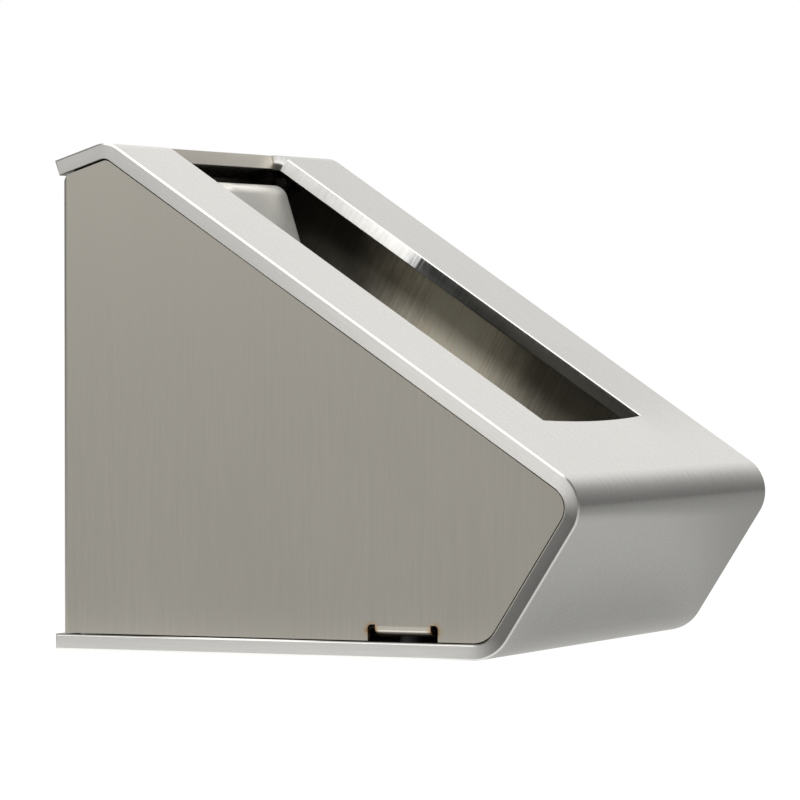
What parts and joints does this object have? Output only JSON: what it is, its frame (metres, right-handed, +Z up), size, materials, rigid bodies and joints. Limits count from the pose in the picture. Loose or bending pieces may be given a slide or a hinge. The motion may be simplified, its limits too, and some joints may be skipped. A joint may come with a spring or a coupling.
{
  "type": "wall-mounted ashtray bin",
  "caption": "Wall-mounted ashtray bin: thick folded steel plate with a sloping front and open top slot, thin inset side panels, lift-off casing and pull-out ash pan.",
  "frame": {"origin": "on the wall plane, in the middle of the four wall holes, 90 mm above the underside of the bottom plate", "axes": "seen from the front, +X is to the right; +Y points into the wall; +Z is up"},
  "size_m": [0.21, 0.2155, 0.1939],
  "materials": {
    "brushed_plate": "thick stainless plate, brushed along the fold profile",
    "brushed_sheet": "stainless sheet, brushed upright, straw heat tint at the tab reliefs",
    "hood_sheet": "bright stainless sheet, satin",
    "inner_sheet": "mill-finish stainless sheet",
    "pan_sheet": "stainless sheet, stained by ash inside",
    "bracket_steel": "zinc-plated steel, dull grey",
    "zinc_fixings": "bright zinc-plated or stainless fixings",
    "lock_chrome": "chromed die casting",
    "lock_brass": "turned brass",
    "handle_rod": "polished stainless rod",
    "black_rubber": "matt rubber",
    "pan_feet_plastic": "matt black plastic"
  },
  "bodies": {
    "wall_mount": {"wall_bracket": "bracket_steel", "bracket_buffers": "black_rubber"},
    "casing": {"casing_plate": "brushed_plate", "side_panel_left": "brushed_sheet", "side_panel_right": "brushed_sheet", "back_plate": "inner_sheet", "back_rivets": "zinc_fixings", "flange_studs": "zinc_fixings", "flange_nuts": "zinc_fixings", "tab_studs": "zinc_fixings", "tab_spacers": "black_rubber", "tab_nuts": "zinc_fixings", "stub_hood": "hood_sheet", "hood_rivets": "zinc_fixings", "lock_barrel": "lock_chrome", "lock_nut": "lock_brass"},
    "lock_core": {"lock_plug": "lock_chrome", "lock_cam": "zinc_fixings", "cam_screw": "zinc_fixings"},
    "pan": {"ash_pan": "pan_sheet", "pan_feet": "pan_feet_plastic", "handle_pivots": "zinc_fixings"},
    "handle": {"pan_handle": "handle_rod"}
  },
  "joints": [
    {"name": "lift_off", "type": "slide", "parent": "wall_mount", "child": "casing", "axis": [0, -0.866, 0.5], "range_m": [0, 0.2]},
    {"name": "lock_turn", "type": "hinge", "parent": "casing", "child": "lock_core", "pos_m": [0, -0.0355, 0.059], "axis": [0, -0.9455, 0.3256], "range_deg": [0, 90]},
    {"name": "pan_draw", "type": "slide", "parent": "casing", "child": "pan", "axis": [0, 1, 0], "range_m": [0, 0.12]},
    {"name": "handle_swing", "type": "hinge", "parent": "pan", "child": "handle", "pos_m": [0, -0.095, -0.027], "axis": [-1, 0, 0], "range_deg": [0, 90]}
  ],
  "couplings": [
    {"joint": "pan_draw", "follows": "lift_off", "ratio": 0.6}
  ]
}
